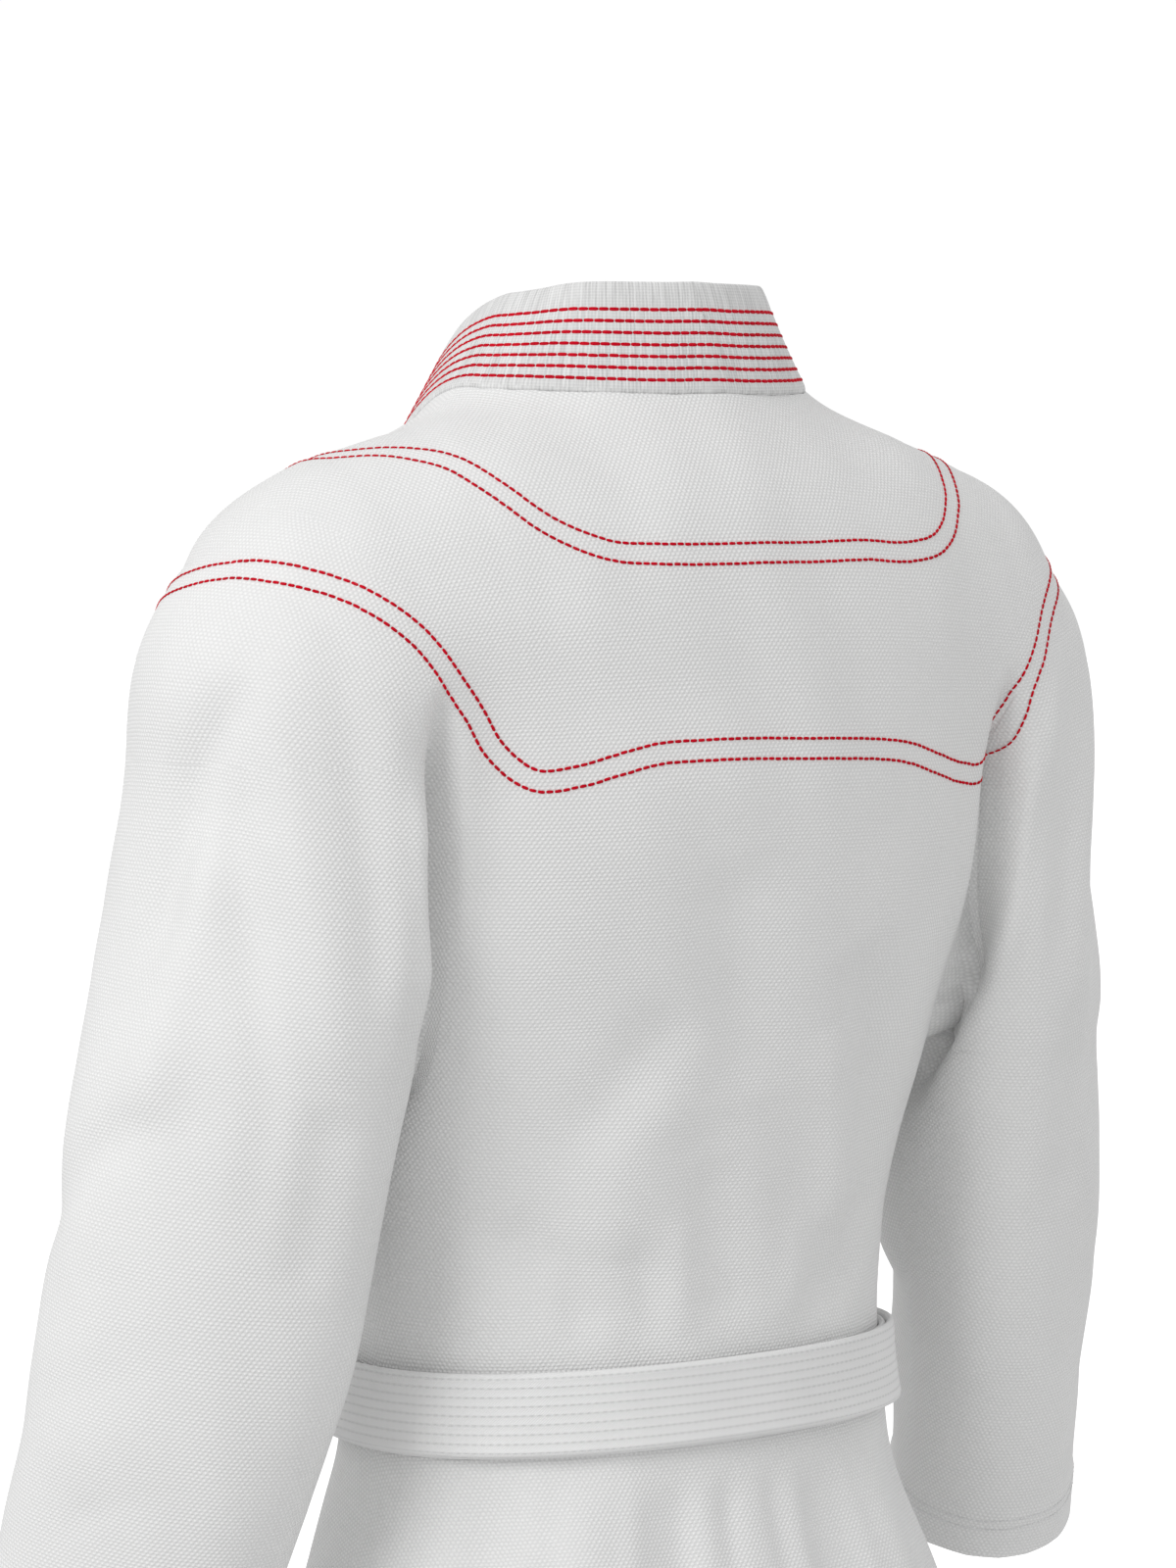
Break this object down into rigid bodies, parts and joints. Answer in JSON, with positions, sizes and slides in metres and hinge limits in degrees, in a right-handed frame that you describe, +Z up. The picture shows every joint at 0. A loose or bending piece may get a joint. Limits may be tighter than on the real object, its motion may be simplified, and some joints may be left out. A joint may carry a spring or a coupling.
{
  "type": "jiu-jitsu gi jacket with belt",
  "caption": "Wrap-front martial-arts jacket, hollow and as worn, with stitched stand-up lapel collar, open vents and a tied belt.",
  "frame": {"origin": "on the wearer's axis at the base of the neck, level with the collar's back seam", "axes": "+Z up, front toward -Y, the wearer's left toward +X"},
  "size_m": [0.636, 0.2923, 0.802],
  "materials": {
    "pearl_weave": "matt white cotton in a fine pearl weave",
    "collar_rib": "matt white ribbed cotton with rows of red stitching",
    "belt_cotton": "matt white cotton with rows of white stitching"
  },
  "bodies": {
    "root": {"back": "pearl_weave", "front_left": "pearl_weave", "front_right": "pearl_weave", "sleeve_left": "pearl_weave", "sleeve_right": "pearl_weave", "collar": "collar_rib", "belt_wrap": "belt_cotton", "belt_knot": "belt_cotton", "belt_tail_left": "belt_cotton", "belt_tail_right": "belt_cotton"}
  },
  "joints": []
}
